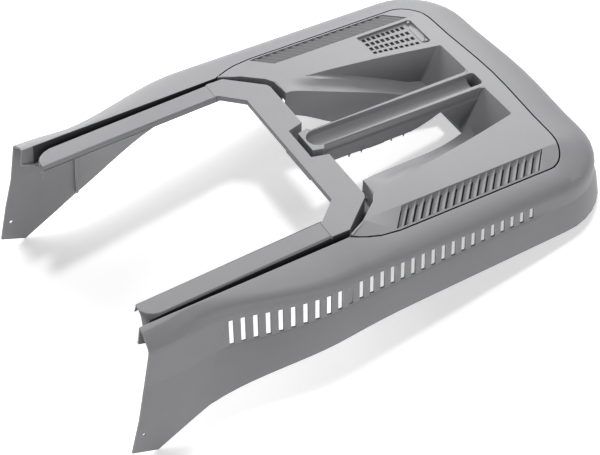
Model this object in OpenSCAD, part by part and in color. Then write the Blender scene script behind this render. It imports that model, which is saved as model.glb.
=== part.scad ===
// Top half of a lawn mower grass box, in two light grey mouldings.
// The deck frame has +Y to the rear and the flat deck at height 0. The whole part is then tipped until
// it stands on the tips of its two wings and on its rear rim.

/* [Outer skin] */
// Thickness of every moulded wall
wall = 2.5; // [2:0.1:3]
// Half width over the soft crease along the slotted sides
crease_w = 199; // [194:1:203]
// Half width over the crease at the wings
crease_wing_w = 166; // [163:1:169]
// Height of the crease below the deck
crease_drop = 13; // [11:0.5:15]
// Length of the rounding on the deck side of the crease
crease_round = 14; // [10:1:16]
// Half width of the lower rim along the sides
rim_w = 212; // [208:1:216]
// Half width over the wings
wing_w = 185; // [182:1:190]
// Height of the rim below the deck, level with the cross band
rim_drop = 79.5; // [76:0.5:84]
// Rise of the rim towards the rear, per millimetre
rim_rise = 0.055; // [0.03:0.005:0.07]
// How fast the rim bends down towards the wings
rim_bend = 0.00078; // [0.0007:0.00002:0.00084]
// Distance from the cross band to where the wing edge turns straight
wing_start = 237; // [225:1:245]
// Fall of the straight wing edge, per millimetre
wing_fall = 0.6; // [0.5:0.02:0.7]
// Distance from the cross band to the lowest corner of a wing
wing_corner = 301; // [295:1:305]
// Distance from the cross band to the front edge of the skin
front_y = 297; // [294:1:300]
// How far the tip of a wing reaches in front of that edge
wing_reach = 34; // [28:1:40]
// Width of the shoulder that folds out of the skin at the arm ends
shoulder = 9.8; // [8:0.2:10.4]
// Length over which the two pleats of a shoulder run out
pleat_run = 48; // [40:1:56]

/* [Rear corners] */
// Sideways place of the centre of a rear corner
corner_x = 119; // [112:1:124]
// Place of that centre behind the cross band
corner_y = 206; // [200:1:212]
// Crown of the rear edge
rear_bow = 6; // [3:0.5:8]

/* [Groove and shutline] */
// Half width to the outer edge of the groove
groove_w = 153.5; // [153:0.5:155]
// Depth of the groove
groove_depth = 25; // [22:1:28]
// Fall of the arms towards their ends, per millimetre
arm_fall = 0.03; // [0.02:0.005:0.04]
// Half width to the shutline along the louvres
shut_w = 170; // [168:1:172]
// Length of the rear corner of the shutline along the sides
shut_corner = 34; // [30:1:38]
// Place of the joint of groove and shutline, in front of the cross band
joint_y = 49; // [47:1:51]
// Length over which the shutline swings out behind that joint
shut_swing = 55; // [45:1:65]
// Width of the shutline
shut_gap = 1.6; // [1:0.1:1.8]
// Clearance under the skirt of the panel
seat_gap = 0.3; // [0.2:0.05:0.4]
// Depth of the skirt round the panel
skirt_h = 7; // [6:0.5:8]
// Width of the ledge that carries the skirt
ledge_w = 8; // [7:0.5:10]
// Depth of the wall along the front edges of the panel
front_h = 12.5; // [11:0.5:13]

/* [Rails and cross band] */
// Half width of the opening between the rails
open_w = 120.3; // [118:0.5:122]
// Half width to the outer side of a rail
rail_w = 145.8; // [145:0.1:146.5]
// Length of the rails in front of the cross band
rail_end = 287; // [280:1:290]
// Tilt of the rails
rail_tilt = 3.3; // [2.5:0.1:3.8]
// Height of the lip round the opening
lip_h = 7; // [5:0.5:9]
// Height of the outer wall of rails and band
rail_wall_h = 30; // [29:0.5:34]
// Distance from the rear edge of the band to the opening
band_d = 37.5; // [34:0.5:40]
// Side of the chamfer at the corners of the opening
open_chamfer = 26; // [22:1:30]
// Place where the outer corner of the band starts, in front of its rear edge
band_corner = 44; // [42:0.5:46]
// Half width of the straight rear edge of the band
band_rear_w = 107.5; // [104:0.5:110]
// Half width of the notch for the handle at the rear edge
notch_w = 31; // [29:0.5:33]
// Half width of the notch at its front
notch_front_w = 25.5; // [23:0.5:27]
// Depth of the notch
notch_d = 20.5; // [18:0.5:22]
// Depth of the floor of the notch
notch_floor = 31; // [29:0.5:33]

/* [Ribs of the wings] */
// Place of the rib on the inner side of a wing, in front of the cross band
rib_y = 228.8; // [222:0.2:236]
// Height of that rib
rib_h = 4; // [2:0.5:5]
// Thickness of that rib
rib_t = 3.2; // [2:0.2:4]

/* [Side slots] */
// Slots in each side
slot_count = 29; // [20:1:29]
// Spacing of the slots
slot_pitch = 13; // [12:0.1:13.2]
// Width of a slot
slot_w = 5; // [4:0.5:6]
// Place of the first slot in front of the cross band
slot_first = 205; // [202:0.5:207]
// The slot in each side that is only a recess
slot_blind = 11; // [2:1:28]
// Step in the wall below the slots
slot_step = 1.4; // [0.8:0.1:2]

/* [Panel] */
// Half width of the flat deck between the folds
fold_w = 140; // [138:1:142]
// Fall of the louvred facets, per millimetre
fold_fall = 0.1667; // [0.12:0.01:0.2]
// Louvres on each side
louvre_count = 18; // [12:1:18]
// Spacing of the louvres along the side
louvre_pitch = 10.53; // [10.4:0.01:10.6]
// Place of the first gap behind the cross band, at the middle of the band of louvres
louvre_first = 23.5; // [22:0.5:25]
// Width of the gap between two louvres, seen from above
louvre_gap = 1.7; // [1.4:0.1:2]
// Thickness of a louvre
louvre_t = 1.4; // [1.2:0.1:1.6]
// Turn of a louvre in plan
louvre_turn = 41; // [38:1:44]
// Lean of a louvre
louvre_lean = 40; // [36:1:42]

/* [Hand pockets and handle] */
// Half width of the pockets at the front
pocket_front_w = 105.5; // [102:0.5:108]
// Half width of the pockets at the rear
pocket_rear_w = 74; // [70:0.5:78]
// Place of the rear edge of the pockets
pocket_rear = 220; // [216:1:222]
// Depth of the pockets
pocket_depth = 50; // [45:1:54]
// Lean of the rear wall of the pockets, per millimetre of depth
pocket_lean = 0.57; // [0.5:0.01:0.62]
// Height of the soft wave across the shelf of a pocket
shelf_wave = 2; // [1:0.1:2.4]
// Rounding at the rear corners of the pockets
pocket_round = 4; // [3:0.5:5]
// Depth of the inner walls
deep_wall = 65; // [58:1:66]
// Half width of the handle at its front
handle_front_w = 16.3; // [15.5:0.1:17]
// Half width of the handle at its root
handle_rear_w = 18.5; // [17.5:0.1:19.5]
// Half width of the trough at its front
trough_front_w = 13.3; // [12.5:0.1:14]
// Half width of the trough at its rear
trough_rear_w = 11.3; // [10.5:0.1:12]
// Depth of the trough
trough_d = 12; // [9:0.5:13]
// Length of the well at the rear end of the trough
well_l = 9; // [7:0.5:10]
// Depth of that well
well_d = 21; // [18:0.5:23]
// Depth of the skirts of the handle
handle_d = 27; // [25:0.5:29]
// Front end of the handle pad, in front of the cross band's rear edge
pad_y = 14.5; // [13:0.1:15.5]
// Half width of the pad at its front
pad_front_w = 16.7; // [16:0.1:18]
// Half width of the pad at its step
pad_rear_w = 20; // [19:0.5:21]
// Place of the middle of the clips under the handle
clip_y = 71.7; // [68:0.5:75]

/* [Perforated seat] */
// Rows of square holes
grid_rows = 4; // [3:1:4]
// Holes in each row
grid_cols = 9; // [6:1:9]
// Side of a square hole
grid_hole = 3.9; // [3.2:0.1:4.2]
// Depth of the seat
grid_d = 3.3; // [2.5:0.1:4]
// Front edge of the seat, behind the cross band
grid_y = 137.5; // [135:0.5:140]
// Length of the seat
grid_l = 77; // [75:0.5:78]

/* [Wing holes] */
// Diameter of the hole in each wing
wing_hole_d = 4; // [3:0.5:5]
// Place of the hole in front of the cross band
wing_hole_y = 315.5; // [312:0.5:318]
// Height of the hole below the deck
wing_hole_drop = 140; // [135:1:145]

/* [Hidden] */

mould = "#a8a9ad";
flat_y = 270;
rear_bottom = rim_z(corner_y + 40);
rear_rim_y = corner_y + rim_w - corner_x + rear_bow;
wing_low = wing_z(-wing_corner);
rest_tilt = atan2(rear_bottom - wing_low, rear_rim_y + wing_corner);
front_low = rested(-front_y - wing_reach, rim_z(-front_y - wing_reach));
rear_low = rested(rear_rim_y, rear_bottom);
stand_y = -(front_low[0] + rear_low[0]) / 2;
stand_z = -rested(-wing_corner, wing_low)[1];

function rested(y, z) = [
    y * cos(rest_tilt) + z * sin(rest_tilt),
    z * cos(rest_tilt) - y * sin(rest_tilt)
];

function clamped(t) = min(1, max(0, t));
function smooth(t) = let (u = clamped(t)) u * u * (3 - 2 * u);
function mix(a, b, t) = a + (b - a) * t;
function reversed(list) = [for (i = [len(list) - 1:-1:0]) list[i]];

// The form of the skin, as functions of the place y along the side
function deck_z(x) = -max(0, x - fold_w) * fold_fall;
function wing_z(y) = mix(
    rim_curve(-wing_start), rim_curve(-wing_start) - wing_fall * (wing_corner - wing_start),
    (-y - wing_start) / (wing_corner - wing_start)
);
function rim_curve(y) = -rim_drop + rim_rise * y - (y < 0 ? rim_bend * y * y : 0);
function rim_z(y) = y > -wing_start ? rim_curve(y)
    : y > -wing_corner ? wing_z(y)
    : wing_z(-wing_corner) + 0.4 * (-wing_corner - y);
function widening(y) = smooth((y + 252) / 170);
function crease_x(y) = mix(crease_wing_w, crease_w, widening(y));
function rim_x(y) = mix(wing_w, rim_w, widening(y));
function edge_x(y) = y < -joint_y ? groove_w
    : shut_w - (shut_w - groove_w) * pow(1 - clamped((y + joint_y) / shut_swing), 2);
function edge_z(y) = deck_z(edge_x(y)) + min(0, arm_fall * (y + joint_y));
function floor_depth(y) = mix(
    mix(groove_depth - 5, groove_depth, smooth((y + front_y) / 12)), skirt_h + seat_gap,
    smooth((y + joint_y + 2) / 6)
);
function floor_in(y) = mix(
    mix(0.8, groove_w - rail_w + wall / 2, smooth((y + front_y - 6) / 12)), ledge_w,
    smooth((y + joint_y + 2) / 6)
);
function flare_z(y) = mix(-71.5, slot_bottom(y) - 2, smooth((y + 262) / 45));
function front_edge(z) = -front_y - wing_reach * pow(clamped(-z / 164), 1.3);

// Slots: the heights of their ends
function slot_top(y) = mix(-29, -18.5, smooth((y + 190) / 180));
function slot_bottom(y) = mix(mix(-64.5, -42, smooth((y + 215) / 200)), -31.5, clamped(y / 165));

// A quadratic bend from a to c with its corner at b
function bend(a, b, c, t) = a * (1 - t) * (1 - t) + b * 2 * t * (1 - t) + c * t * t;

// One section of the skin, from the groove floor to the rim: d is measured outwards from d0
// and each pleat of a shoulder is folded in by the share p
function section(edge, ez, fin, fz, cx, cz, sh, fx, fz2, step, rx, rz, p = 0) =
    let (
        apex = [cx + 2.7, cz + 3.2],
        inward = [edge - apex[0], ez - apex[1]],
        a = apex + inward / norm(inward) * mix(crease_round, crease_round / 2, p),
        c = [apex[0] + sh, apex[1] - 14],
        mid = mix([edge, ez], a, 0.5)
    ) [
        [edge - fin, fz], [edge, fz], [edge, ez], mid + [0, 0.4], a,
        mix(bend(a, apex, c, 0.35), apex + [0.3, -3.4], p),
        mix(bend(a, apex, c, 0.6), apex + [6.2, -6.2], p),
        mix(bend(a, apex, c, 0.82), apex + [10.4, -10.2], p),
        mix(c, [fx - 0.6, apex[1] - 15.5], p),
        [fx, fz2 + 1], [fx + step, fz2 - 1],
        mix([fx + step, fz2], [rx, rz], 0.45) + [1.2 + p, 0], [rx, rz]
    ];

function side_section(y) =
    let (
        sh = shoulder * (1 - smooth((y + 275) / 90)),
        step = slot_step * smooth((y + 225) / 20) * (1 - smooth((y - 165) / 25)),
        ez = edge_z(y), cx = crease_x(y), fz2 = flare_z(y)
    ) section(
        edge_x(y), ez, floor_in(y), ez - floor_depth(y), cx, -crease_drop - 2 * sh / shoulder,
        sh, cx + 4 + sh * 1.07, fz2, step, rim_x(y), rim_z(y),
        1 - smooth((y + front_y - 16) / pleat_run)
    );

function rear_section() =
    let (r = crease_w - corner_x, fz2 = slot_bottom(165) - 2)
    section(
        shut_corner, deck_z(corner_x), ledge_w, deck_z(corner_x) - skirt_h - seat_gap, r, -crease_drop,
        0, r + 4, fz2, 0, rim_w - corner_x, rear_bottom
    );

// The line moved to its right by t, with mitred corners
function beside(line, t) = [
    for (i = [0:len(line) - 1])
        let (
            d1 = i > 0 ? line[i] - line[i - 1] : line[1] - line[0],
            d2 = i < len(line) - 1 ? line[i + 1] - line[i] : d1,
            n1 = [d1[1], -d1[0]] / norm(d1), n2 = [d2[1], -d2[0]] / norm(d2)
        ) line[i] + (n1 + n2) / (1 + n1 * n2) * t
];

// Closed thin-walled ring of a section, the rim cut level
function ringed(sec) =
    let (inner = beside(sec, wall), n = len(sec) - 1)
    concat(sec, reversed([for (i = [0:n]) i < n ? inner[i] : [inner[i][0], sec[i][1]]]));

// Stations of one half, from the wing to the middle of the rear
side_ys = [
    -255, -238, -222, -206, -190, -174, -158, -142, -126, -110, -94, -76, -joint_y - 3, -joint_y - 1,
    -joint_y + 2, -joint_y + 8, -joint_y + 18, -joint_y + 32, -joint_y + shut_swing, 40, 85, 130, 165, 190
];

function front_ring(t) =
    let (n = len(ringed(side_section(-flat_y))))
    [
        for (i = [0:n - 1])
            let (
                z = ringed(side_section(-flat_y - 30))[i][1],
                y = mix(front_edge(z), -flat_y, t),
                p = ringed(side_section(y))[i]
            ) [p[0], y, p[1]]
    ];

corner_t = (front_y + wing_reach - wing_corner) / (front_y + wing_reach - flat_y);

half_rings = concat(
    [front_ring(0), front_ring(corner_t), front_ring(1)],
    [for (y = side_ys) [for (p = ringed(side_section(y))) [p[0], y, p[1]]]],
    [
        for (a = [0:10:90])
            let (
                s = ringed(side_section(corner_y)), r = ringed(rear_section()),
                drop = deck_z(corner_x + (shut_w - corner_x) * cos(a)) - mix(deck_z(shut_w), 0, a / 90)
            ) [
                for (i = [0:len(s) - 1]) [
                    corner_x + (s[i][0] - corner_x) * cos(a),
                    corner_y + r[i][0] * sin(a),
                    mix(s[i][1], r[i][1], a / 90) + (min(i, len(s) - 1 - i) < 5 ? drop : 0)
                ]
            ]
    ],
    [
        for (k = [1:4])
            let (x = corner_x * (1 - k / 4), bow = rear_bow * (1 + cos(180 * x / corner_x)) / 2)
            [for (p = ringed(rear_section())) [x, corner_y + p[0] + bow, p[1]]]
    ]
);

// Solid through a row of rings of equal length, with a strip of faces across each end
module lofted(rings) {
    n = len(rings[0]);
    m = len(rings);
    half = n / 2;
    sides = [
        for (k = [0:m - 2], i = [0:n - 1], f = [0:1])
            let (a = k * n + i, b = k * n + (i + 1) % n, c = a + n, d = b + n)
            f == 0 ? [a, c, b] : [b, c, d]
    ];
    ends = [
        for (e = [0, 1], i = [0:half - 2], f = [0:1])
            let (
                o = e * (m - 1) * n, a = o + i, b = o + i + 1, c = o + n - 1 - i, d = o + n - 2 - i,
                t = f == 0 ? [a, b, c] : [b, d, c]
            ) e == 0 ? t : reversed(t)
    ];
    polyhedron([for (r = rings, p = r) p], concat(sides, ends));
}

module skin() {
    lofted(concat(half_rings, [
        for (k = [len(half_rings) - 2:-1:0]) [for (p = half_rings[k]) [-p[0], p[1], p[2]]]
    ]));
}

// Wall of thickness t to the right of a line in plan, from height z down by h
module plan_wall(line, t, z, h) {
    translate([0, 0, z - h]) linear_extrude(h) polygon(concat(line, reversed(beside(line, t))));
}

// Profile in X and Z, drawn out along Y from y0 to y1
module along_y(profile, y0, y1) {
    translate([0, y1, 0]) rotate([90, 0, 0]) linear_extrude(y1 - y0) polygon(profile);
}

module both_sides() {
    children();
    mirror([1, 0, 0]) children();
}

// One rail: lip, top and outer wall. Near its end the outer wall turns in and its corner falls
function rail_ring(y, x, drop) = [
    for (p = [
        [open_w, -lip_h], [open_w, 0], [x - drop, 0], [x, -drop], [x, -rail_wall_h],
        [x - wall, -rail_wall_h], [x - wall, -drop - 1.2], [x - drop - 1.2, -wall],
        [open_w + 2, -wall], [open_w + 2, -lip_h]
    ]) [p[0], y, p[1]]
];

module rail() {
    kink = band_d + open_chamfer + 3;
    end = kink - rail_end;
    translate([0, -kink, -0.4]) rotate([rail_tilt, 0, 0]) {
        lofted([
            rail_ring(end, rail_w - 11.3, 6), rail_ring(end + 1.8, rail_w - 6.3, 6.8),
            rail_ring(end + 4.5, rail_w - 3, 6), rail_ring(end + 11, rail_w - 0.8, 3.4),
            rail_ring(end + 19, rail_w, 2), rail_ring(1, rail_w, 2)
        ]);
        // pointed tip at the front end of the lip
        translate([open_w + 0.1, 0, 0]) rotate([90, 0, 90]) linear_extrude(1.8) polygon([
            [end + 0.1, -2.5], [end - 2.4, -lip_h - 2.2], [end + 0.6, -lip_h - 1.5],
            [end + 3, -lip_h + 0.5], [end + 3, -2.5]
        ]);
    }
}

function mirrored(line) = [for (p = reversed(line)) [-p[0], p[1]]];

// The cross band behind the opening, with its notch for the handle
kink_y = -band_d - open_chamfer - 3;
tuck = 0.06; // the band sits this much inside the ends of the rails
band_opening = [
    [open_w + tuck, kink_y], [open_w + tuck, -band_d - open_chamfer], [open_w - open_chamfer + 2, -band_d]
];
band_outer = [
    [notch_w, -1], [band_rear_w - 2, -1], [band_rear_w + 3, -3],
    [rail_w - tuck, -band_corner], [rail_w - tuck, kink_y]
];
notch = [[notch_front_w, -1 - notch_d], [notch_w, -1]];

module band() {
    half = concat(reversed(band_opening), reversed(band_outer), [notch[0]]);
    translate([0, 0, -wall]) linear_extrude(wall) polygon(concat(half, mirrored(half)));
    plan_wall(concat(band_opening, mirrored(band_opening)), 2, -0.5, lip_h - 0.5);
    both_sides() plan_wall(band_outer, wall, -0.5, rail_wall_h - 0.5);
    plan_wall(concat(reversed(notch), mirrored(reversed(notch))), -wall, -0.5, notch_floor + wall - 0.5);
    translate([0, 0, -notch_floor - wall]) linear_extrude(wall)
        polygon(concat(notch, mirrored(notch)));
}

// Floor of the groove behind the band, with the upstand that carries the front of the panel
front_line = [
    [88, 9], [97, 8.5], [111, 7], [120.6, 1], [140.4, -24], [147, -37], [149.6, -42],
    [groove_w - 1.5, -joint_y + 2]
];

module groove_floor() {
    z = edge_z(-joint_y) - groove_depth;
    out = beside([for (i = [1:5]) front_line[i]], -2 * wall);
    translate([0, 0, z - wall]) linear_extrude(wall) polygon(concat(
        [[front_line[0][0] + 1, -2], [band_rear_w - 1.5, -2], [band_rear_w + 2, -4]],
        [[rail_w - 1.8, -band_corner], [rail_w - 1.8, -joint_y - 4], [groove_w + 1, -joint_y - 4]],
        [[groove_w + 1, 4 - joint_y]], reversed(out), [[front_line[0][0] + 1, out[0][1]]]
    ));
    plan_wall(beside([for (i = [1:5]) front_line[i]], -0.3), -wall, -front_h - seat_gap, -z - front_h);
}

module side_slots() {
    for (i = [0:slot_count - 1]) {
        y = -slot_first + i * slot_pitch;
        blind = i == slot_blind - 1;
        translate([crease_x(y) + (blind ? 2.6 : -5), y - slot_w / 2, slot_bottom(y)])
            cube([rim_w - crease_wing_w, slot_w, slot_top(y) - slot_bottom(y)]);
    }
}

// Upright rib on the inner side of a wing
module wing_rib() {
    y = -rib_y;
    sec = side_section(y);
    line = concat([for (i = [8:11]) sec[i]], [mix(sec[11], sec[12], 0.88)]);
    profile = concat(beside(line, wall - 0.6), reversed(beside(line, wall + rib_h)));
    along_y(profile, y - rib_t / 2, y + rib_t / 2);
}

module outer_frame() {
    color(mould) standing() difference() {
        union() {
            skin();
            both_sides() rail();
            band();
            both_sides() groove_floor();
            both_sides() wing_rib();
        }
        both_sides() side_slots();
        both_sides() translate([wing_w - 8, -wing_hole_y, -wing_hole_drop])
            rotate([0, 90, 0]) cylinder(h = 16, d = wing_hole_d, $fn = 32);
    }
}

// Outline of the panel: half of the shutline from the joint to the middle of the rear
function shut_points() = concat(
    [for (y = concat([3.5 - joint_y], [for (v = side_ys) if (v > 4 - joint_y) v])) [edge_x(y), y]],
    [for (a = [0:10:90]) [corner_x + (shut_w - corner_x) * cos(a), corner_y + shut_corner * sin(a)]],
    [
        for (k = [1:4])
            let (x = corner_x * (1 - k / 4))
            [x, corner_y + shut_corner + rear_bow * (1 + cos(180 * x / corner_x)) / 2]
    ]
);

// Hand pockets: lines along the place y
function pocket_x(y) =
    let (t = clamped((y - 22) / (pocket_rear - 22)))
    mix(pocket_front_w, pocket_rear_w, t) + 3 * sin(180 * t);
function foot_z(y) = -(pocket_depth / 125) * pow(max(0, y - 40), 2) / (max(0, y - 40) + 40);
function lip_x(y) = 86.4 - 0.245 * max(0, y - 14) - 0.0018 * pow(max(0, y - 110), 2);
function lip_z(y) = -0.252 * max(0, y - 20);
function pocket_section(y, inset = 0) =
    let (
        foot = [pocket_x(y) - 1 + 0.16 * foot_z(y) - inset, foot_z(y)], lip = [lip_x(y), lip_z(y)],
        s = smooth((y - 20) / 60)
    ) [
        [lip[0] - 1, mix(-36, -deep_wall, smooth((y - 10) / 80))], lip,
        mix(lip, foot, 0.3) + [0, -shelf_wave * s], mix(lip, foot, 0.5) + [0, -shelf_wave * 0.3 * s],
        mix(lip, foot, 0.72) + [0, shelf_wave * s], foot,
        [pocket_x(y) - inset, 0], [pocket_x(y) + 6, 0]
    ];

function sheeted(sec) = concat(sec, reversed(beside(sec, wall)));

pocket_ys = [9, 16, 24, 34, 46, 60, 75, 90, 105, 120, 135, 150, 164, 176];

// Ring that leans with the rear wall, at the distance d in front of it
function leaning_ring(d) =
    let (
        inset = d < pocket_round ? pocket_round - sqrt(pow(pocket_round, 2) - pow(pocket_round - d, 2)) : 0,
        flat = sheeted(pocket_section(pocket_rear - d, inset))
    ) [
        for (i = [0:len(flat) - 1])
            let (
                y = pocket_rear + 1 - d + pocket_lean * min(0, flat[i][1]),
                p = sheeted(pocket_section(y, inset))[i]
            ) [p[0], pocket_rear + 1 - d + pocket_lean * min(0, p[1]), p[1]]
    ];

module pocket() {
    lofted(concat(
        [for (y = pocket_ys) [for (p = sheeted(pocket_section(y))) [p[0], y, p[1]]]],
        [for (d = [5, 2.6, 1.1, 0]) leaning_ring(d)]
    ));
}

// Slab between the heights z0 and z1 under the deck, folded down along both sides
module folded(z0, z1) {
    x = shut_w + 10;
    along_y([
        [-x, deck_z(x) + z0], [-fold_w, z0], [fold_w, z0], [x, deck_z(x) + z0],
        [x, deck_z(x) + z1], [fold_w, z1], [-fold_w, z1], [-x, deck_z(x) + z1]
    ], -60, corner_y + shut_corner + 20);
}

module deck() {
    shut = beside(shut_points(), -shut_gap);
    inner = concat([for (y = pocket_ys) [pocket_x(y) + 5, y]], [[pocket_rear_w + 5, pocket_rear]]);
    front = [for (i = [2:len(front_line) - 1]) front_line[i]];
    side = concat(front, [for (p = shut) if (p[0] > 1) p]);
    plan = concat(side, [shut[len(shut) - 1]], mirrored(side), mirrored(reversed(inner)), reversed(inner));
    intersection() {
        linear_extrude(60, center = true) polygon(plan);
        folded(0, -wall);
    }
    // skirt round the edge
    full = concat(shut, [for (p = mirrored(shut)) if (p[0] < -1) p]);
    intersection() {
        translate([0, 0, -30]) linear_extrude(40) polygon(concat(full, reversed(beside(full, -wall))));
        folded(-0.5, -skirt_h);
    }
    // wall along the front edges
    both_sides() plan_wall([for (i = [0:5]) front_line[i]], -wall, -0.5, front_h - 0.5);
    both_sides() plan_wall(
        beside([mix(front_line[4], front_line[5], 0.8), front_line[5], front_line[6], front_line[7],
            shut[0]], -tuck), -wall + 0.3, -0.5, skirt_h - 0.5
    );
}

// Rear wall of the pockets
module rear_wall() {
    h = pocket_depth + 5;
    rotate([90, 0, 90]) translate([0, 0, -pocket_rear_w]) linear_extrude(2 * pocket_rear_w) polygon([
        [pocket_rear - 0.3, -0.5], [pocket_rear - pocket_lean * h, -h],
        [pocket_rear - pocket_lean * h + 3, -h], [pocket_rear + 3, -0.5]
    ]);
}

// Handle: a bar with a long trough, a skirt on each side and a pad at its front end
function handle_w(y) = mix(handle_front_w, handle_rear_w, y / pocket_rear);
function handle_low(y) = mix(-handle_d, -14, pow(clamped((y - 118) / 40), 1.4));
function handle_half(y, low) =
    let (w = handle_w(y))
    [[w - 1.5, 0], [w - 0.6, -0.7], [w - 2.2, -10.4], [w - 0.3, -12.2], [w + 1.4, low]];

handle_ys = [-1, 20, 60, 118, 128, 137, 146, 158, 190, pocket_rear + 1];

// Small wedges along the lower edge of the skirts, with a slit between the inner two
module clips() {
    x = handle_w(clip_y) - 0.7;
    for (y = [-37.5, -20.4, 20.4, 37.5]) translate([x, clip_y + y, -handle_d]) rotate([90, 0, 90])
        linear_extrude(1.8) polygon([[-1.5, 1.2], [-0.5, -4], [0.5, -4], [1.5, 1.2]]);
    translate([x, clip_y - 11, -handle_d - 2.3]) cube([1.2, 22, 1.1]);
    for (y = [-11, 9.6]) translate([x, clip_y + y, -handle_d - 2.3]) cube([1.2, 1.4, 2.6]);
}

// Plates that tie the rear end of the handle to the rear wall of the pockets
web_x = handle_rear_w - 1;
module web() {
    lean = pocket_lean;
    intersection() {
        plan_wall([[web_x - 3.2, 152], [web_x, 183], [web_x, pocket_rear + 1.5]], -2, 0, 70);
        rotate([90, 0, 90]) linear_extrude(40) polygon([
            [156, -12.5], [158.5, -14.2], [186.5, -47], [pocket_rear + 1.6 - lean * 54, -54],
            [pocket_rear + 1.6, -0.8], [pocket_rear - 6, -0.8], [pocket_rear - 12, -12.5]
        ]);
    }
}

module handle() {
    difference() {
        union() {
            lofted([for (y = handle_ys) let (h = handle_half(y, handle_low(y)))
                [for (p = concat([for (q = reversed(h)) [-q[0], q[1]]], h)) [p[0], y, p[1]]]]);
            translate([0, 0, -trough_d - wall]) linear_extrude(trough_d + wall - 0.1) polygon([
                [-pad_front_w, -pad_y], [pad_front_w, -pad_y], [pad_rear_w, -1.5], [handle_front_w, 1.5],
                [-handle_front_w, 1.5], [-pad_rear_w, -1.5]
            ]);
            translate([-trough_rear_w - 2, pocket_rear - 10, -well_d - 2])
                cube([2 * trough_rear_w + 4, 16, well_d + 1.2]);
            both_sides() clips();
            both_sides() web();
            both_sides() translate([handle_w(pocket_rear) - 1.5, pocket_rear + 0.5, -wall]) corner_fillet(5);
        }
        translate([0, 0, -trough_d - wall]) rotate([-90, 0, 0]) translate([0, 0, 3]) linear_extrude(206)
            polygon([
                [-handle_front_w + 1.8, 0], [handle_front_w - 1.8, 0],
                [handle_front_w, 30], [-handle_front_w, 30]
            ]);
    }
}

// Well at the rear end of the trough, with two rounded corners
module well() {
    half = [
        [trough_rear_w - 4.5, well_l], [trough_rear_w - 1.3, well_l - 1.3],
        [trough_rear_w, well_l - 4.5], [trough_rear_w, 0]
    ];
    translate([0, pocket_rear + 4 - well_l, -well_d]) linear_extrude(well_d + 5)
        polygon(concat(half, mirrored(half)));
}

// Rounded web in the corner between a rim and the rear edge, of radius r
module corner_fillet(r) {
    linear_extrude(wall - 0.1) difference() {
        translate([0, -r]) square([r + 1, r]);
        translate([r + 1, -r]) circle(r, $fn = 32);
    }
}

function trough_w(y) =
    let (w = mix(trough_front_w, trough_rear_w, y / pocket_rear), s = y + pad_y - 2.7)
    s > w ? w : sqrt(max(0.04, w * w - pow(w - s, 2)));

trough_ys = [-pad_y + 2.7, -pad_y + 3.3, -pad_y + 4.8, -pad_y + 7.3, -3, 2.7, 60, 120, 180, 216];

module trough() {
    lofted([
        for (y = trough_ys)
            let (w = trough_w(y), h = trough_d * pow(w / trough_w(60), 0.6))
            [for (p = concat(
                [[w, 1]], [for (a = [0:20:180]) [w * cos(a), -h * pow(sin(a), 0.6)]], [[-w, 1]]
            )) [p[0], y, p[1]]]
    ]);
}

// Louvres: a window in the facet between fold and shutline, filled with leaning blades. Their frame has
// its origin on the fold, X down the facet and Z out of it
facet_turn = atan(fold_fall);
louvre_x0 = 1.5;
louvre_x1 = (shut_w - shut_gap - wall - fold_w) / cos(facet_turn);
louvre_mid = (louvre_x0 + louvre_x1) / 2;
module on_facet() {
    translate([fold_w, 0, 0]) rotate([0, facet_turn, 0]) children();
}

// The window, made wider by g all round
module louvre_window(g, z0, z1) {
    rise = tan(louvre_turn) * (louvre_x1 - louvre_x0) / 2;
    y0 = louvre_first - louvre_pitch + 1 - g / 2;
    y1 = louvre_first + (louvre_count - 1) * louvre_pitch + louvre_gap * 0.8 + g / 2;
    k = tan(louvre_turn) * g;
    translate([0, 0, z0]) linear_extrude(z1 - z0) polygon([
        [louvre_x0 - g, y0 + rise + k], [louvre_x1 + g, y0 - rise - k],
        [louvre_x1 + g, y1 - rise - k], [louvre_x0 - g, y1 + rise + k]
    ]);
}

module louvre_blades() {
    across = louvre_pitch * cos(louvre_turn) - louvre_gap - louvre_t * sin(louvre_lean);
    h = across / cos(louvre_lean);
    intersection() {
        louvre_window(0.8, -12, 2);
        for (i = [0:louvre_count - 1])
            translate([louvre_mid, louvre_first + i * louvre_pitch, -0.5]) rotate([0, 0, -louvre_turn])
                translate([-30, -louvre_gap / 2, 0]) rotate([louvre_lean, 0, 0])
                    translate([0, -h, -louvre_t]) cube([60, h, louvre_t]);
    }
    // sloped wall under the fold
    intersection() {
        louvre_window(0.8, -12, 2);
        translate([0, 260, 0]) rotate([90, 0, 0]) linear_extrude(280) polygon([
            [louvre_x0 - 0.7, -0.6], [louvre_x0, -0.6], [louvre_x0 + 4, -6.4], [louvre_x0 - 0.7, -6.4]
        ]);
    }
}

// Seat with fanned rows of square holes, on one side only
function fan(r, c) = [
    mix(-135, mix(-98.8, -87, c), r), mix(grid_y + 3.2, grid_y + 65.5, c)
];

module grid_seat() {
    translate([0, 0, -grid_d - 1.6]) linear_extrude(grid_d + 0.6) polygon([
        [2 - fold_w, grid_y - 2.5], [-96, grid_y - 2.5],
        [-80, grid_y + grid_l + 2], [2 - fold_w, grid_y + grid_l + 2]
    ]);
}

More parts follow.
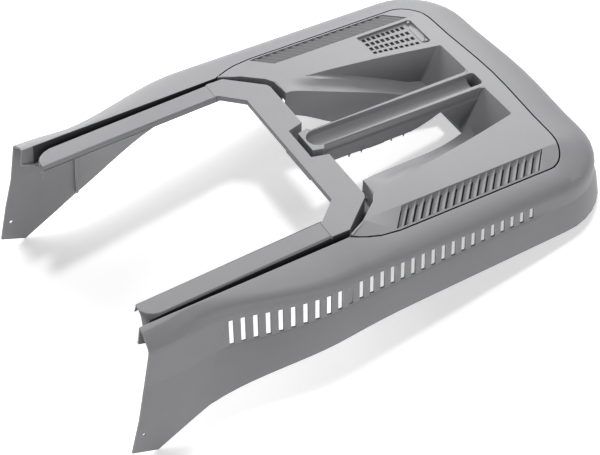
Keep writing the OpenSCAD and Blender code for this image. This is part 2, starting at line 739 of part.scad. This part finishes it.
module grid_cuts() {
    difference() {
        translate([0, 0, -grid_d]) linear_extrude(10) polygon([
            [4 - fold_w, grid_y], [-98.8, grid_y], [-86.5, grid_y + grid_l - 3], [-89, grid_y + grid_l],
            [7 - fold_w, grid_y + grid_l], [4 - fold_w, grid_y + grid_l - 3]
        ]);
        // raised plate behind the holes and the two pivot ears of the small flap
        translate([0, 0, -grid_d - 1]) linear_extrude(1.9) polygon([
            [-123, grid_y + 68], [-93, grid_y + 68], [-93, grid_y + 72], [-104, grid_y + grid_l + 1],
            [-118, grid_y + grid_l + 1], [-123, grid_y + 72]
        ]);
        for (x = [7.5 - fold_w, -91.5]) translate([x, grid_y + grid_l - 4, -grid_d + 0.9])
            rotate([0, 90, 0]) cylinder(h = 3.6, r = 2.6, center = true, $fn = 24);
    }
    for (r = [0:grid_rows - 1], c = [0:grid_cols - 1]) {
        p = fan((r + 0.5) / grid_rows, (c + 0.5) / grid_cols);
        translate([p[0], p[1], 0]) cube([grid_hole + 2, grid_hole + 0.4, 40], center = true);
    }
}

module centre_panel() {
    color(mould) standing() {
        difference() {
            union() {
                deck();
                both_sides() pocket();
                rear_wall();
                handle();
                grid_seat();
            }
            trough();
            well();
            both_sides() on_facet() louvre_window(0, -6.6, 5);
            grid_cuts();
        }
        both_sides() on_facet() louvre_blades();
    }
}

// Tips the deck frame to the pose in which the part stands
module standing() {
    translate([0, stand_y, stand_z]) rotate([-rest_tilt, 0, 0]) children();
}

outer_frame();
centre_panel();
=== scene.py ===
# %% [markdown]
# # The top of a grass box, dressed in Blender
#
# The solids of this part come from a CAD model. They already have the right size and the right
# shape, in metres. This lesson gives them what a plain solid lacks: softened edges that catch the
# light, and the finish of grey moulded plastic. A long lens and soft studio light then make a
# catalogue picture of the part.

# %% Load the fixed model
import math

import bmesh
import bpy
from mathutils import Euler, Matrix, Vector
from mathutils.bvhtree import BVHTree


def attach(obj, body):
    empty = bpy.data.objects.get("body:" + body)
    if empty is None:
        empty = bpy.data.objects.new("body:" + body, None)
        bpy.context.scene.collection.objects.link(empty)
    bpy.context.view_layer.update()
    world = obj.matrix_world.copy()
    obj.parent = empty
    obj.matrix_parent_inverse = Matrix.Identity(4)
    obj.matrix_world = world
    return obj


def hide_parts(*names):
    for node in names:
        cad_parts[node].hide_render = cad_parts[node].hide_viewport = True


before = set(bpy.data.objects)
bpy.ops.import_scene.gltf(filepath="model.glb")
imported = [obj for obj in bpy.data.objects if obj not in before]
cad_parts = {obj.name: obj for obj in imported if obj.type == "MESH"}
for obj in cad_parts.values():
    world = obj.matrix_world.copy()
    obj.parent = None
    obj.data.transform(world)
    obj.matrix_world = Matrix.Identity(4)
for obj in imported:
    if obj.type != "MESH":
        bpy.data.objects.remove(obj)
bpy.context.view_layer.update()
print("nodes:", sorted(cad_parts))


def new_object(name, data):
    """An object that holds this data, linked to the scene."""
    thing = bpy.data.objects.new(name, data)
    bpy.context.scene.collection.objects.link(thing)
    return thing


# %% [markdown]
# ## The pose of the part
#
# The flat deck of the part is tipped by about ten degrees, because the part stands on two low wings
# at the front and on its shallow rim at the rear. Places on the deck are easiest to read off before
# that tip. So one matrix takes a point from the deck, in millimetres, to the place in the world
# where it stands, in metres, and its inverse brings a point back to the deck.

# %% From the deck to the world
MILLIMETRE = 0.001
REST_TILT = math.radians(10.1762)
STAND = Vector((0.0, 32.9999, 118.818))
TO_WORLD = (
    Matrix.Scale(MILLIMETRE, 4)
    @ Matrix.Translation(STAND)
    @ Matrix.Rotation(-REST_TILT, 4, "X")
)
TO_DECK = TO_WORLD.inverted()
print("the middle of the deck stands at", [round(v, 3) for v in TO_WORLD.translation])

# %% [markdown]
# ## The camera
#
# A camera in Blender looks straight down until it is turned. This one is tipped up about X, leaned
# about Y and turned about Z, in that order. A long lens of 90 mm keeps the two arms almost
# parallel, as in a catalogue picture. Its sight reaches past the far edge of the floor.

# %% The camera
# In millimetres, as on a real camera
LENS, SENSOR_WIDTH = 90.0, 36.0
# In metres
SIGHT = 200.0
CAMERA_PLACE = Vector((1.10003, -0.43026, 1.34838))
CAMERA_TURNS = Euler([math.radians(turn) for turn in (40.251, 8.069, 59.675)])

camera_data = bpy.data.cameras.new("catalogue_lens")
camera_data.lens = LENS
camera_data.sensor_width = SENSOR_WIDTH
camera_data.clip_end = SIGHT
camera = new_object("catalogue_camera", camera_data)
camera.matrix_world = Matrix.LocRotScale(CAMERA_PLACE, CAMERA_TURNS, None)
bpy.context.scene.camera = camera
print("camera at", [round(v, 3) for v in camera.matrix_world.translation])

# %% [markdown]
# ## Shader maths as plain expressions
#
# A pattern such as the fine grain of moulded plastic is a sum of a few noises. Written node by node
# it is hard to read, so a small class wraps a socket and lets Python's own signs add the Math nodes.
# Every other node comes from one function, which takes the settings of the node and what its
# sockets get.


# %% A socket that can be calculated with
class Signal:
    """A shader socket with the arithmetic signs of Python."""

    def __init__(self, tree, socket):
        self.tree, self.socket = tree, socket

    def _math(self, operation, a, b):
        return add_node(self.tree, "ShaderNodeMath", {"operation": operation}, a=a, b=b)

    def __add__(self, other):
        return self._math("ADD", self, other)

    def __radd__(self, other):
        return self._math("ADD", other, self)

    def __sub__(self, other):
        return self._math("SUBTRACT", self, other)

    def __rsub__(self, other):
        return self._math("SUBTRACT", other, self)

    def __mul__(self, other):
        return self._math("MULTIPLY", self, other)

    def __rmul__(self, other):
        return self._math("MULTIPLY", other, self)


# %% One function for every other node
MATH_INPUTS = {"a": 0, "b": 1}


def put(tree, socket, value):
    """Gives a socket a link or a fixed value."""
    if isinstance(value, Signal):
        tree.links.new(value.socket, socket)
    else:
        socket.default_value = value


def set_stops(ramp, stops):
    """Gives a colour ramp its stops, each one a place and a colour."""
    while len(ramp) < len(stops):
        ramp.new(0.5)
    for element, (place, colour) in zip(ramp, stops):
        element.position, element.color = place, colour


def add_node(tree, kind, settings=None, pick=0, **inputs):
    """Adds a node: first its settings, then its inputs. It gives back the output that is picked."""
    node = tree.nodes.new(kind)
    for name, value in (settings or {}).items():
        if name == "stops":
            set_stops(node.color_ramp.elements, value)
        else:
            setattr(node, name, value)
    for name, value in inputs.items():
        socket = node.inputs[MATH_INPUTS.get(name, name.replace("_", " "))]
        put(tree, socket, value)
    return Signal(tree, node.outputs[pick])


# %% [markdown]
# ## Grey moulded plastic
#
# Such a part is moulded from a plastic like polypropylene, with a very fine matt grain from the
# mould. It is neither shiny nor chalky: edges catch a soft light, and large faces show only slow
# changes of tone where the melt flowed. Three things make it: slow noises on the colour, a fine
# noise on the roughness, and a very shallow bump. Outer edges also get a painted highlight: a paler
# colour, and a roughness a little lower. An attribute says which faces those are, and each piece
# gets it when its edges are rounded.
#
# The same recipe in much darker greys paints shade: on the walls of narrow gaps, and on what lies
# behind the small openings.

# %% The plastic
FLOW = {"Scale": 9.0, "Detail": 3.0, "Roughness": 0.5}
BLOTCH = {"Scale": 60.0, "Detail": 4.0, "Roughness": 0.6}
GRAIN = {"Scale": 1400.0, "Detail": 2.0, "Roughness": 0.6}
# Faces at outer edges get a painted highlight: a paler colour, and a little less roughness
EDGE_HIGHLIGHT = "rubbed"
FLOW_TONE, BLOTCH_TONE, GRAIN_TONE, EDGE_HIGHLIGHT_TONE = 0.4, 0.24, 0.16, 0.5
# Each shade is a stop on the tone, and how many times lighter the colour is there
SHADES = ((0.28, 0.96), (0.52, 1.04), (1.0, 1.5))
GRAIN_ROUGHNESS, EDGE_HIGHLIGHT_SHINE = 0.1, 0.06
BUMP_STRENGTH, BUMP_DEPTH = 0.12, 0.0003
SPECULAR, REFRACTION = 0.42, 1.49


def shaded(colour, factor):
    """A colour made darker or lighter, with its alpha."""
    return (*(min(1.0, channel * factor) for channel in colour), 1.0)


def moulded(name, colour, roughness):
    """A material for moulded plastic, with its noises on Object coordinates in metres."""
    material = bpy.data.materials.new(name)
    material.use_nodes = True
    tree = material.node_tree
    tree.nodes.clear()
    place = add_node(tree, "ShaderNodeTexCoord", pick="Object")
    flow, grain, blotch = (
        add_node(tree, "ShaderNodeTexNoise", Vector=place, **noise) for noise in (FLOW, GRAIN, BLOTCH)
    )
    rubbed = add_node(tree, "ShaderNodeAttribute", {"attribute_name": EDGE_HIGHLIGHT}, "Fac")
    # The edge term paints a highlight on outer edges
    tone = FLOW_TONE * flow + BLOTCH_TONE * blotch + GRAIN_TONE * grain + EDGE_HIGHLIGHT_TONE * rubbed
    stops = [(stop, shaded(colour, factor)) for stop, factor in SHADES]
    matt = roughness - GRAIN_ROUGHNESS / 2
    surface = add_node(
        tree,
        "ShaderNodeBsdfPrincipled",
        Base_Color=add_node(tree, "ShaderNodeValToRGB", {"stops": stops}, Fac=tone),
        Roughness=matt + GRAIN_ROUGHNESS * grain - EDGE_HIGHLIGHT_SHINE * rubbed,
        Normal=add_node(
            tree, "ShaderNodeBump", Height=grain, Strength=BUMP_STRENGTH, Distance=BUMP_DEPTH
        ),
        Specular_IOR_Level=SPECULAR,
        IOR=REFRACTION,
    )
    output = tree.nodes.new("ShaderNodeOutputMaterial")
    put(tree, output.inputs["Surface"], surface)
    return material


# %% The two plastics, and two dark greys of painted shade
FRAME_GREY = (0.222, 0.222, 0.234)
PANEL_GREY = (0.23, 0.23, 0.242)
# Painted shade, dark grey: the walls of the grooves along the arms
GROOVE_SHADE_GREY = (0.055, 0.055, 0.06)
# Painted shade, near black: the joint walls, the louvre roots and the tray behind the grid
SHADE_BLACK = (0.018, 0.018, 0.02)
SATIN, MATT, CHALKY = 0.46, 0.6, 0.7
frame_mould = moulded("frame_moulding", FRAME_GREY, SATIN)
panel_mould = moulded("panel_moulding", PANEL_GREY, SATIN)
groove_shade_mould = moulded("groove_shade_moulding", GROOVE_SHADE_GREY, MATT)
painted_shade_mould = moulded("painted_shade_moulding", SHADE_BLACK, CHALKY)
print("finishes:", sorted(material.name for material in bpy.data.materials))

# %% [markdown]
# ## Softened copies of the two mouldings
#
# A CAD solid comes as loose triangles with razor edges. A real moulding has a small radius on every
# edge, and it is that radius that draws the thin light lines in a picture. The way chosen here is to
# copy the solid, weld its triangles, and then bevel each edge that is sharper than a gentle bend.
# The triangles are not melted into larger faces first: a bevel across a face with a notched outline
# can fold it over. The bevel mostly takes material away, so the copy does not grow.

# %% Weld and round off
# Corners closer to each other than this, in metres, become one corner
WELD = 0.00002
# Edges sharper than this are rounded
SHARP = math.radians(30.0)
# A face of a rounding belongs to an outer edge when it bends outwards by more than this
BEND = math.radians(35.0)
BEVEL_STEPS = 3
FACE_WEIGHT = 80


def welded(node_name):
    """A bmesh of a CAD node in which the loose triangles share their corners."""
    form = bmesh.new()
    form.from_mesh(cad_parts[node_name].data)
    bmesh.ops.remove_doubles(form, verts=form.verts, dist=WELD)
    bmesh.ops.dissolve_degenerate(form, edges=form.edges, dist=WELD)
    form.normal_update()
    return form


def round_edges(form, radius):
    """Bevels the sharp edges, marks the outer ones for a painted highlight, and counts them all."""
    edges = [e for e in form.edges if e.is_manifold and e.calc_face_angle(0.0) > SHARP]
    rubbed = form.faces.layers.float.new(EDGE_HIGHLIGHT)
    bevel = bmesh.ops.bevel(
        form,
        geom=edges,
        offset=radius,
        offset_type="OFFSET",
        affect="EDGES",
        segments=BEVEL_STEPS,
        profile=0.5,
        clamp_overlap=False,
        material=-1,
    )
    form.normal_update()
    for face in bevel["faces"]:
        bend = sum(e.calc_face_angle_signed(0.0) for e in face.edges)
        face[rubbed] = 1.0 if bend > BEND else 0.0
    for face in form.faces:
        face.smooth = True
    return len(edges)


# %% [markdown]
# ## Dark gaps
#
# The joint between the two mouldings shows as a black line, and the narrow grooves along the arms
# as dark bands, since shade falls deep into them. A ray from each face finds the walls that look at
# another wall from close by, and these walls get that shade painted on as a darker colour. In the
# joint the other wall belongs to the other moulding, in a groove to the same one.

# %% Find the walls of narrow gaps
# The places of the painted shades among the materials of a piece
BLACK, DARK = 1, 2
# How far off, in metres, the other wall of a joint or of a groove may be
JOINT_REACH, GROOVE_REACH = 0.0024, 0.0105
# A ray starts this far off its own face, so that it can't hit that face
RAY_START = 0.00001
# Two walls face each other when the cosine between their normals is below this
FACING = -0.3
# A wall is upright when the part of its normal along Z is below this
UPRIGHT = 0.6
# The grooves, in deck millimetres: how far they lie from the middle, and where they start and end
GROOVE_SIDE, GROOVE_FRONT, GROOVE_REAR = 157.0, -300.0, -40.0


def darken_walls(form, target, reach, finish, chosen=None):
    """Paints shade on the walls that look at the target from close by, with one of the piece's
    materials.
    """
    count = 0
    for face in form.faces:
        start = face.calc_center_median() + face.normal * RAY_START
        normal = target.ray_cast(start, face.normal, reach)[1]
        if normal is None or normal.dot(face.normal) > FACING:
            continue
        if chosen is None or chosen(face):
            face.material_index = finish
            count += 1
    print("darker walls:", count)


def in_groove(face):
    """Whether a face is an upright wall of the groove along an arm."""
    place = TO_DECK @ face.calc_center_median()
    normal = (TO_DECK.to_3x3() @ face.normal).normalized()
    on_arm = abs(place.x) < GROOVE_SIDE and GROOVE_FRONT < place.y < GROOVE_REAR
    return on_arm and abs(normal.z) < UPRIGHT


# %% [markdown]
# ## The dressed mouldings
#
# Each copy stands for its CAD node, and only the frame has grooves to darken. All faces are shaded
# smooth, and a Weighted Normal modifier lets the large ones rule the shading, so that they stay flat
# between their rounded edges.

# %% The shell and its insert
# The radii of the rounded edges, in metres
FRAME_RADIUS, PANEL_RADIUS = 0.0006, 0.00045


def new_piece(form, name, finishes):
    """Turns a finished bmesh into an object with these materials."""
    mesh = bpy.data.meshes.new(name)
    form.to_mesh(mesh)
    form.free()
    for finish in finishes:
        mesh.materials.append(finish)
    return new_object(name, mesh)


def softened(node_name, name, material, radius, neighbour_name):
    """A welded copy of a CAD node with rounded edges. It stands for the node."""
    form = welded(node_name)
    neighbour = welded(neighbour_name)
    # The joint walls get the near black of painted shade
    darken_walls(form, BVHTree.FromBMesh(neighbour), JOINT_REACH, BLACK)
    neighbour.free()
    if node_name == "outer_frame":
        # The groove walls get the dark grey of painted shade
        darken_walls(form, BVHTree.FromBMesh(form), GROOVE_REACH, DARK, in_groove)
    edge_count = round_edges(form, radius)
    piece = new_piece(form, name, (material, painted_shade_mould, groove_shade_mould))
    attributes = piece.data.attributes
    if "custom_normal" in attributes:
        attributes.remove(attributes["custom_normal"])
    even = piece.modifiers.new("even_shading", "WEIGHTED_NORMAL")
    even.weight = FACE_WEIGHT
    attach(piece, "root")
    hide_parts(node_name)
    print(name, edge_count, "edges rounded,", len(piece.data.polygons), "faces")
    return piece


outer_shell = softened("outer_frame", "outer_shell", frame_mould, FRAME_RADIUS, "centre_panel")
deck_insert = softened("centre_panel", "deck_insert", panel_mould, PANEL_RADIUS, "outer_frame")

# %% [markdown]
# ## The roots of the louvres
#
# The gaps between the louvres show as black lines, and no light comes up through them, so each
# louvre must reach under its neighbour. The CAD blades stop short of that. Here each blade gets a
# root: a thin slat in the blade's own plane, which starts inside its lower edge and runs on under the
# next gap. The slats are painted black, as painted shade for the depth of the gaps. One slat more
# than there are blades closes the last gap. All slats are cut to length by two planes, one under the
# fold and one at the outer skirt, and their cut ends are closed again.
#
# The slats are made in the frame of the right-hand facet, which falls away from the fold, in
# millimetres. They are then laid on the facet, mirrored to the left, and taken to the world.

# %% Slats under the gaps
FOLD_SIDE, FACET_FALL = 140.0, math.radians(9.464)
ON_FACET = Matrix.Translation((FOLD_SIDE, 0.0, 0.0)) @ Matrix.Rotation(FACET_FALL, 4, "Y")
LOUVRE_COUNT, LOUVRE_PITCH, LOUVRE_FIRST, LOUVRE_GAP = 18, 10.53, 23.5, 1.7
LOUVRE_TURN, LOUVRE_LEAN = math.radians(41.0), math.radians(40.0)
# The band of louvres reaches from the fold side to the skirt side, and its blades lie a little sunk
BAND_INSIDE, BAND_OUTSIDE, BLADE_SINK = 1.5, 26.26, 0.5
BLADE_LENGTH, BLADE_REACH, BLADE_THICK = 60.0, 6.98, 1.4
ROOT_REACH, ROOT_OVERLAP, ROOT_SKIN = 3.4, 0.4, 0.1
# How far the cut ends of the slats go into the solid beside the band
END_OVERLAP = 0.2


def add_slat(form, number):
    """Adds one slat, in facet millimetres, as a cube that is stretched and leaned into place."""
    reach = ROOT_REACH + ROOT_OVERLAP
    middle = (BAND_INSIDE + BAND_OUTSIDE) / 2
    stretched = Matrix.Diagonal((BLADE_LENGTH, reach, BLADE_THICK - 2 * ROOT_SKIN, 1.0))
    down_the_blade = Matrix.Translation(
        (0.0, ROOT_OVERLAP - BLADE_REACH - reach / 2, -BLADE_THICK / 2)
    )
    at_the_gap = (
        Matrix.Translation((middle, LOUVRE_FIRST + number * LOUVRE_PITCH, -BLADE_SINK))
        @ Matrix.Rotation(-LOUVRE_TURN, 4, "Z")
        @ Matrix.Translation((0.0, -LOUVRE_GAP / 2, 0.0))
        @ Matrix.Rotation(LOUVRE_LEAN, 4, "X")
    )
    bmesh.ops.create_cube(form, size=1.0, matrix=at_the_gap @ down_the_blade @ stretched)


def cut_ends(form, x, outward):
    """Cuts all slats off at one X, on the side that outward points to, and closes their ends."""
    cut = bmesh.ops.bisect_plane(
        form,
        geom=form.verts[:] + form.edges[:] + form.faces[:],
        plane_co=(x, 0.0, 0.0),
        plane_no=(outward, 0.0, 0.0),
        clear_outer=True,
    )
    rims = [e for e in cut["geom_cut"] if isinstance(e, bmesh.types.BMEdge)]
    bmesh.ops.holes_fill(form, edges=rims)


def slats():
    """The slats of both sides."""
    form = bmesh.new()
    for number in range(LOUVRE_COUNT + 1):
        add_slat(form, number)
    cut_ends(form, BAND_INSIDE - END_OVERLAP, -1.0)
    cut_ends(form, BAND_OUTSIDE + END_OVERLAP, 1.0)
    bmesh.ops.transform(form, matrix=ON_FACET, verts=form.verts)
    bmesh.ops.mirror(form, geom=form.verts[:] + form.faces[:], merge_dist=0.0, axis="X")
    bmesh.ops.transform(form, matrix=TO_WORLD, verts=form.verts)
    return form


def add_piece(form, name, material):
    """Adds a piece that rides with the part and stands for no CAD node."""
    bmesh.ops.recalc_face_normals(form, faces=form.faces)
    piece = new_piece(form, name, (material,))
    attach(piece, "root")
    print(name, len(piece.data.polygons), "faces")


# The slats get the near black of painted shade
add_piece(slats(), "louvre_roots", painted_shade_mould)

# %% [markdown]
# ## Painted shade behind the small square holes
#
# The square holes in the sunk seat are dark too, although every other opening of the part shows the
# white ground. What lies behind them can't be seen. A shallow tray under the seat, black as painted
# shade, is the plainest thing that gives the same picture. It grows out of one face: pulled up to a
# block, inset, and pushed down again to leave a rim.

# %% A black tray under the seat
TRAY_OUTLINE = ((-139.0, 138.0), (-95.0, 138.0), (-83.5, 206.0), (-139.0, 206.0))
TRAY_UNDERSIDE, TRAY_TOP, TRAY_WALL = -8.5, -4.85, 1.2


def pulled(form, face, height):
    """Pulls a face along Z and gives back the face at the far end."""
    grown = bmesh.ops.extrude_face_region(form, geom=[face])["geom"]
    moved = [v for v in grown if isinstance(v, bmesh.types.BMVert)]
    bmesh.ops.translate(form, verts=moved, vec=(0.0, 0.0, height))
    return [f for f in grown if isinstance(f, bmesh.types.BMFace)][0]


def tray():
    """The tray, with its rim up."""
    form = bmesh.new()
    base = form.faces.new([form.verts.new((x, y, TRAY_UNDERSIDE)) for x, y in TRAY_OUTLINE])
    top = pulled(form, base, TRAY_TOP - TRAY_UNDERSIDE)
    bmesh.ops.inset_region(form, faces=[top], thickness=TRAY_WALL)
    pulled(form, top, TRAY_UNDERSIDE + TRAY_WALL - TRAY_TOP)
    bmesh.ops.transform(form, matrix=TO_WORLD, verts=form.verts)
    return form


# The tray gets the near black of painted shade
add_piece(tray(), "grid_shade_tray", painted_shade_mould)

# %% [markdown]
# ## Floor and light
#
# The studio is a large pale floor, a dim even surround, three big soft lamps and a small one
# overhead. The floor is a sheet that glows a little, as on a light table. It stays white with only
# faint shadows, and it sends light back up to the walls of the part, which would otherwise be dark.

# %% The floor
WHITE = (1.0, 1.0, 1.0, 1.0)
FLOOR_HALF = 60.0
PAPER_COLOUR, PAPER_ROUGHNESS, PAPER_GLOW = (0.8, 0.8, 0.8, 1.0), 0.9, 0.5

paper = bpy.data.materials.new("white_paper")
paper.use_nodes = True
paper_surface = paper.node_tree.nodes["Principled BSDF"]
paper_surface.inputs["Base Color"].default_value = PAPER_COLOUR
paper_surface.inputs["Roughness"].default_value = PAPER_ROUGHNESS
paper_surface.inputs["Emission Color"].default_value = WHITE
paper_surface.inputs["Emission Strength"].default_value = PAPER_GLOW
floor_form = bmesh.new()
bmesh.ops.create_grid(floor_form, x_segments=1, y_segments=1, size=FLOOR_HALF)
floor = new_piece(floor_form, "studio_floor", (paper,))
print("the floor reaches", FLOOR_HALF, "metres to each side")

# %% The surround
SKY_STRENGTH = 0.12
world = bpy.data.worlds.new("studio")
bpy.context.scene.world = world
world.use_nodes = True
sky = world.node_tree.nodes["Background"]
sky.inputs["Color"].default_value = WHITE
sky.inputs["Strength"].default_value = SKY_STRENGTH

# %% The lamps
LAMP_TARGET = Vector((0.0, 0.0, 0.1))
# Each lamp has a name, a place and a size in metres, and a power in watts
LAMPS = (
    ("key", Vector((-1.5, 1.6, 1.3)), 1.2, 40.0),
    ("side", Vector((-2.2, 0.0, 1.1)), 1.4, 45.0),
    ("fill", Vector((2.3, 0.0, 1.0)), 1.4, 18.0),
    ("top", Vector((-0.3, 0.3, 2.4)), 0.3, 26.0),
)


def soft_lamp(name, place, size, power):
    """A square area lamp, pointed at the part."""
    lamp_data = bpy.data.lights.new(name, "AREA")
    lamp_data.energy = power
    lamp_data.size = size
    turn = (LAMP_TARGET - place).to_track_quat("-Z", "Y")
    new_object(name, lamp_data).matrix_world = Matrix.LocRotScale(place, turn, None)
    print("lamp:", name, power, "W")


for lamp in LAMPS:
    soft_lamp(*lamp)
bpy.context.scene.view_settings.view_transform = "Standard"
bpy.context.scene.view_settings.look = "None"
